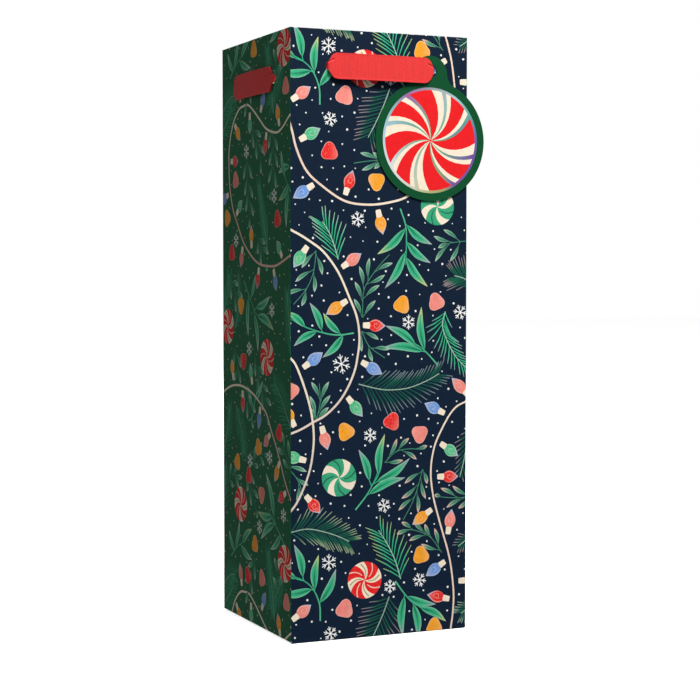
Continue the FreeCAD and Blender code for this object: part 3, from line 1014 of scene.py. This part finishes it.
def strap_half(to_tip):
    """The strap's half width, at a distance back from its tip."""
    distances = (0.0, 0.35, 0.9, 2.1, 3.4, 4.6, 5.6)
    halves = (BUNCHED, 2.4, 3.2, 5.2, 6.7, 7.35, RIBBON_HALF)
    return float(numpy.interp(to_tip, distances, halves))


def make_strap(wall):
    """The ribbon outside one wall, with both ends folded in and turned through the punched holes."""
    turn = WALLS[wall].turn
    hole, level = punched(wall)
    outside = [(0.0, -2.6), (hole - 20, -2.4), (hole - 10, -1.9), (hole - 3, -1.5), (hole + 0.4, -1.42)]
    through = [(hole + 1.45, -1.05), (hole + 1.75, -0.35), (hole + 1.6, 0.5), (hole + 1.3, 1.6)]
    inside = [(hole + 0.9, 3.0), (hole + 0.6, 4.2), (hole + 0.5, TAIL_DEPTH)]
    side = smooth([Vector((x, y, 0)) for x, y in outside + through + inside], 8)
    flat = [Vector((-p.x, p.y, 0)) for p in side[::-1]] + side[1:]
    line = resampled(flat, STEP)
    tip = hole + 1.95
    halves = [strap_half(tip - abs(p.x)) if p.y < -1.0 else BUNCHED for p in line]
    first = next(i for i, p in enumerate(line) if p.x > -tip + 0.7 and p.y < -1.2)
    last = len(line) - 1 - first
    grooves = [((first, 2.2), (first + 13, 3.7)), ((last, 2.2), (last - 13, 3.7))]
    round_bag = [turned(Vector((p.x, p.y - DEPTH / 2, 0)), turn) for p in line]
    made = make_ribbon(wall + "_ribbon", round_bag, halves, [level] * len(line), grooves)
    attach(made, wall + "_strap")
    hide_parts(wall + "_strap")
    return [turned(Vector((s * (hole + 0.5), TAIL_DEPTH - DEPTH / 2, level)), turn) for s in (-1, 1)]


def bezier(a, b, c, d, count=60):
    line = []
    for k in range(count + 1):
        t = k / count
        line.append(a * (1 - t) ** 3 + 3 * b * t * (1 - t) ** 2 + 3 * c * t * t * (1 - t) + d * t ** 3)
    return line


def opened(travelled, whole):
    """Half width of the ribbon inside a corner, opening out from the bunched end at each hole."""
    near = min(travelled, whole - travelled)
    share = min(near / OPENING, 1.0)
    return BUNCHED + (RIBBON_HALF - BUNCHED) * share * share * (3 - 2 * share)


def make_lap(line, rise):
    """The ribbon's other end, glued over it on the side away from the corner."""
    moved = []
    for i in range(1, len(line) - 1):
        ahead = heading(line, i).normalized()
        moved.append(line[i] - Vector((ahead.y, -ahead.x, 0)) * LAP_OFFSET)
    lap = make_ribbon("ribbon_glued_lap", moved, [RIBBON_HALF] * len(moved), rise)
    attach(lap, "bag")
    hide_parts("ribbon_lap")


def make_corner(node, wall, after, start, end):
    """The ribbon inside a corner, as two halves that meet half-way between the holes of two walls."""
    inward = turned(Vector((0, HANDLE, 0)), WALLS[wall].turn)
    outward = turned(Vector((0, -HANDLE, 0)), WALLS[after].turn)
    plan_start, plan_end = Vector((start.x, start.y, 0)), Vector((end.x, end.y, 0))
    line = resampled(bezier(plan_start, plan_start + inward, plan_end - outward, plan_end), STEP)
    whole = len(line) - 1
    rise = [start.z + (end.z - start.z) * i / whole for i in range(whole + 1)]
    halves = [opened(i * STEP, whole * STEP) for i in range(whole + 1)]
    middle = whole // 2
    for part, low, high, body, far in (("a", 0, middle, wall, start), ("b", middle, whole, after, end)):
        share = slice(low, high + 1)
        piece = make_ribbon(f"{node}_ribbon_{part}", line[share], halves[share], rise[share])
        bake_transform(piece)
        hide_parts(node + "_corner_run")
    if node == "back_right":
        low, high = middle - LAP_COLUMNS, middle + LAP_COLUMNS
        make_lap(line[low - 1:high + 1], rise[low:high])


strap_ends = {wall: make_strap(wall) for wall in WALLS}
for node, wall, after in (("front_right", "front", "right"), ("back_right", "right", "back"),
                          ("back_left", "back", "left"), ("front_left", "left", "front")):
    make_corner(node, wall, after, strap_ends[wall][1], strap_ends[after][0])


# ---------------------------------------------------------------- the tag
TAG_LOW, TAG_HIGH = corners("gift_tag")
TAG_RADIUS = (TAG_HIGH.x - TAG_LOW.x) / 2
TAG_X = (TAG_HIGH.x + TAG_LOW.x) / 2
TAG_Z = TAG_LOW.z + TAG_RADIUS
LOBE_RADIUS = 11.0
LOBE_RISE = TAG_HIGH.z - LOBE_RADIUS - TAG_Z
NECK_RADIUS = 8.0
TAG_HOLE_RADIUS = 4.0
TAG_HOLE_RISE = 41.0
CANDY_RADIUS = 29.7
RING = 1.5


def arc(x, y, radius, start, end, count):
    turns = [math.radians(start + (end - start) * k / count) for k in range(count + 1)]
    return [Vector((x, y)) + radius * ray(a) for a in turns]


def tag_outline():
    """A disc with a smaller lobe above it, joined by hollow necks."""
    to_disc, to_lobe = TAG_RADIUS + NECK_RADIUS, LOBE_RADIUS + NECK_RADIUS
    neck_y = (to_disc ** 2 - to_lobe ** 2 + LOBE_RISE ** 2) / (2 * LOBE_RISE)
    neck_x = math.sqrt(to_disc ** 2 - neck_y ** 2)
    disc_angle = math.degrees(math.atan2(neck_y, neck_x))
    lobe_angle = math.degrees(math.atan2(neck_y - LOBE_RISE, neck_x))
    right = arc(neck_x, neck_y, NECK_RADIUS, disc_angle + 180, 180 + lobe_angle, 10)
    left = [Vector((-p.x, p.y)) for p in right[::-1]]
    disc = arc(0, 0, TAG_RADIUS, 180 - disc_angle, 360 + disc_angle, 110)
    lobe = arc(0, LOBE_RISE, LOBE_RADIUS, lobe_angle, 180 - lobe_angle, 34)
    return disc[:-1] + right[:-1] + lobe[:-1] + left[:-1]


# the foil's tints at angles in degrees
FOIL_STOPS = (
    (-60, srgb(140, 96, 172)), (-15, srgb(128, 92, 176)), (10, srgb(104, 128, 190)),
    (32, srgb(112, 186, 172)), (58, srgb(190, 222, 228)), (88, srgb(168, 174, 182)),
    (120, srgb(176, 112, 180)), (142, srgb(150, 200, 206)), (172, srgb(190, 222, 238)),
    (208, srgb(238, 244, 244)), (236, srgb(236, 240, 228)), (268, srgb(196, 202, 138)),
    (288, srgb(170, 178, 120)), (300, srgb(140, 96, 172)),
)


def foil_colour(place):
    """Rainbow foil: its tint turns with the angle from the centre, and is greener near the centre."""
    angle = (math.degrees(math.atan2(place.y, place.x)) + 60) % 360 - 60
    inner = max(0.0, 1 - place.length / CANDY_RADIUS)
    for (a, first), (b, second) in zip(FOIL_STOPS, FOIL_STOPS[1:]):
        if a <= angle <= b:
            tint = mix(first, second, (angle - a) / (b - a))
            return mix(tint, srgb(120, 186, 150), min(1.0, inner * 1.3))
    return FOIL_STOPS[0][1]


def swirl_arm(start, end):
    """A curved sector of the candy, between two angles at its rim. It turns back towards the centre."""
    shares = [0.02, 0.12, 0.24, 0.36, 0.48, 0.6, 0.72, 0.84, 0.93, 1.0]

    def point(share, angle):
        return CANDY_RADIUS * share * ray(math.radians(angle - 38 * (1 - share)))

    rim = [point(1.0, start + (end - start) * k / 8) for k in range(1, 8)]
    return [point(s, start) for s in shares] + rim + [point(s, end) for s in shares[::-1]]


def make_tag():
    art = Print()
    art.lay(circle((0, 0), CANDY_RADIUS + RING, 120), "foil")
    art.lay(circle((0, 0), CANDY_RADIUS, 120), RED)
    for turn in (0, 90, 180, 270):
        art.lay(swirl_arm(63.4 + turn, 88.6 + turn), CREAM)
        art.lay(swirl_arm(70.0 + turn, 75.8 + turn), "foil")
        art.lay(swirl_arm(33.6 + turn, 40.8 + turn), CREAM)
        art.lay(swirl_arm(28.0 + turn, 33.6 + turn), "foil")
    hole = circle((0, TAG_HOLE_RISE), TAG_HOLE_RADIUS, 40)
    flat, triangles, shapes = cut_out(art, tag_outline(), [hole], [], CARD_GREEN)
    over, under = ([Vector((TAG_X + p.x, y, TAG_Z + p.y)) for p in flat] for y in (TAG_LOW.y, TAG_HIGH.y))
    no_bends = [False] * len(triangles)
    made = new_sheet("gift_tag_card", over, under, triangles, no_bends, card_print, foil_print, tag_back)
    paint(made.data, flat, shapes, foil_colour)
    for polygon, shape in zip(made.data.polygons, shapes):
        polygon.material_index = 1 if shape.colour == "foil" else 0
    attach(made, "gift_tag")
    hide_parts("gift_tag")


make_tag()


# ---------------------------------------------------------------- the CAD nodes that stay
def dress(node, material):
    """Gives a CAD node its material."""
    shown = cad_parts[node]
    shown.data.materials.clear()
    shown.data.materials.append(material)


for name in ("front_top_board", "back_top_board", "base_board"):
    dress(name, grey_board)
dress("side_seam_flap", white_paper)


# ---------------------------------------------------------------- floor, light and camera
FLOOR_HALF = 6000.0
floor_surface = Surface("studio_floor", 0.9, 0.0, 0.1)
floor_surface.shade("Base Color", (0.85, 0.85, 0.85, 1))
floor_surface.shade("Emission Color", (1, 1, 1, 1))
floor_surface.shade("Emission Strength", 0.8)
floor_corners = [FLOOR_HALF * Vector((x, y, 0)) for x, y in ((-1, -1), (1, -1), (1, 1), (-1, 1))]
floor = new_object("floor", floor_corners, [(0, 1, 2, 3)], floor_surface.material)
floor.location.z = -0.0002
floor.visible_diffuse = False
floor.visible_glossy = False


def area_light(name, azimuth, elevation, distance, size, watts):
    """A square soft light aimed at the middle of the bag. Azimuth 0 is in front, 90 is to the right."""
    a, e = math.radians(azimuth), math.radians(elevation)
    way = Vector((math.sin(a) * math.cos(e), -math.cos(a) * math.cos(e), math.sin(e)))
    data = bpy.data.lights.new(name, "AREA")
    data.energy = watts
    data.size = size
    made = bpy.data.objects.new(name, data)
    made.location = Vector((0, 0, HEIGHT * MM / 2)) + way * distance
    made.rotation_euler = (-way).to_track_quat("-Z", "Y").to_euler()
    bpy.context.scene.collection.objects.link(made)


area_light("key", 14, 62, 2.2, 0.7, 80)
area_light("back_fill", 140, 35, 2.2, 1.2, 46)
world = bpy.data.worlds.new("studio")
world.use_nodes = True
world_nodes, world_links = world.node_tree.nodes, world.node_tree.links
path = world_nodes.new("ShaderNodeLightPath")
glow = world_nodes.new("ShaderNodeMapRange")
glow.inputs["To Min"].default_value = 0.2
glow.inputs["To Max"].default_value = 1.0
world_links.new(path.outputs["Is Camera Ray"], glow.inputs["Value"])
world_links.new(glow.outputs["Result"], world_nodes["Background"].inputs["Strength"])
world_nodes["Background"].inputs["Color"].default_value = (1, 1, 1, 1)
bpy.context.scene.world = world
bpy.context.scene.view_settings.view_transform = "Standard"

camera_data = bpy.data.cameras.new("camera")
camera_data.lens = 88.33
camera_data.sensor_width = 36
camera_data.clip_start = 0.01
camera = bpy.data.objects.new("camera", camera_data)
camera.location = (-0.4274, -0.9732, 0.2153)
camera.rotation_euler = (math.radians(90 - 2.58), 0, math.radians(-23.994))
bpy.context.scene.collection.objects.link(camera)
bpy.context.scene.camera = camera
